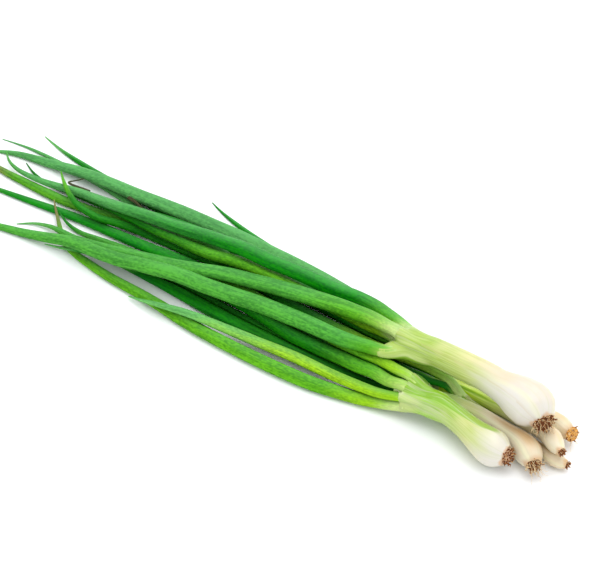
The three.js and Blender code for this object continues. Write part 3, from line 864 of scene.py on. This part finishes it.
# the plates are worn off slantwise, and face up and to the front
WORN_TOWARDS, WORN_TILT = looking(38, 40), 0.45
STUB_THICKNESS, HAIR_THICKNESS = 0.0005, 0.00016
for number, (plant, look) in enumerate(ROOTS.items()):
    stubs, stub, hairs, hair, spread, plate_share, paint = look
    centres, radii, _ = stems[plant]
    outward = Vector(centres[0] - centres[2]).normalized()
    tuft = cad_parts[f"{plant}_roots"].data
    corners = np.array([tuple(vertex.co) for vertex in tuft.vertices])
    depths = (corners - centres[0]) @ np.array(outward)
    depth = float(depths.max())
    aside = corners - centres[0] - np.outer(depths, outward)
    spread_radius = float(np.linalg.norm(aside, axis=1).max())
    worn = (WORN_TOWARDS - outward * WORN_TOWARDS.dot(outward)).normalized()
    piece = run_tree(
        f"{plant}_roots_skin", root_tree, [centres[0]], [1.0], [1.0],
        {
            "Place": tuple(Vector(centres[0]) + (outward + worn) * radii[0] * 0.25),
            "Heading": tuple((outward + worn * WORN_TILT).normalized()),
            "Plate Radius": spread_radius * plate_share,
            "Plate Height": spread_radius * 0.2,
            "Stubs": stubs,
            "Stub Length": depth * stub,
            "Stub Thickness": STUB_THICKNESS,
            "Hairs": hairs,
            "Hair Length": depth * hair,
            "Hair Thickness": HAIR_THICKNESS,
            "Spread": spread,
            "Curl": 1.3,
            "Seed": number + 4,
            "Material": root_material(plant + " root skin", paint, number),
        },
    )
    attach(piece, "root")
    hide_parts(f"{plant}_roots")

# ---------------------------------------------------------------------------------------------
# The dried bits: a withered leaf tip curled over between two leaves, and a torn brown shred that
# is stuck to a leaf's edge.
# ---------------------------------------------------------------------------------------------


def dry_material(name):
    """Withered leaf: dark brown, with olive streaks along it."""
    material, page, shader = new_material(name)
    fibre = page.node("ShaderNodeAttribute", {"attribute_name": "fibre"}, out="Vector")
    streaks = (fibre * (1.0, 1.0, 0.1)).noise(1200, 3.0)
    colour = streaks.smooth(0.4, 0.65).mix(rgb(40, 30, 22), rgb(78, 84, 40))
    bump = raised(streaks, 0.6, 0.0002)
    finish_with(shader, Base_Color=colour, Normal=bump, Roughness=streaks * 0.3 + 0.55)
    shader.inputs["Specular IOR Level"].default_value = 0.15
    return material


# each bit's leaf, its half width, and where it lies: the distance from the fork, the turn round
# the leaf in degrees, and how far out against the leaf's own skin
DRY_BITS = {
    "withered_tip": (
        "top_leaf_3", 0.0013,
        [(0.26, 150, 0.98), (0.265, 156, 1.08), (0.27, 165, 1.3), (0.2765, 178, 1.8),
         (0.279, 180, 2.4), (0.2775, 180, 3.0), (0.276, 180, 3.5), (0.273, 180, 4.6)],
    ),
    "torn_shred": (
        "top_leaf_1", 0.0018,
        [(0.238, 0, 1.0), (0.235, -3, 1.12), (0.232, -5, 1.28), (0.228, -8, 1.55),
         (0.224, -10, 1.85)],
    ),
}
for name, (leaf, half, course) in DRY_BITS.items():
    centres, widths, thicknesses = leaf_routes[leaf]
    marks = walk(np.vstack([stems[leaf.split("_")[0]][0][-1:], centres]))[1:]
    heading = np.gradient(centres, axis=0)
    aside = np.cross((0, 0, 1), heading)
    aside /= np.linalg.norm(aside, axis=1)[:, None]
    route = []
    for reach, turn, out in course:
        across = np.array([np.interp(reach, marks, aside[:, axis]) for axis in range(3)])
        centre = np.array([np.interp(reach, marks, centres[:, axis]) for axis in range(3)])
        wide = np.interp(reach, marks, widths) * math.cos(math.radians(turn)) * out
        thick = np.interp(reach, marks, thicknesses) * math.sin(math.radians(turn)) * out
        route.append(centre + across * wide + np.array([0, 0, thick]))
    route = np.array(route)
    taper = np.linspace(1.0, 0.35, len(route))
    piece = run_tree(
        name, leaf_tree, route, half * taper, half * taper * 0.5,
        {
            "Stations": 40,
            "Sides": 12,
            "Fork": 0.0,
            "Channel": 0.3,
            "Channel Turn": 1.5,
            "Twist": 3.0,
            "Dents": 0.5,
            "Seed": 3.0,
            "Material": dry_material(name + " skin"),
        },
    )
    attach(piece, "root")
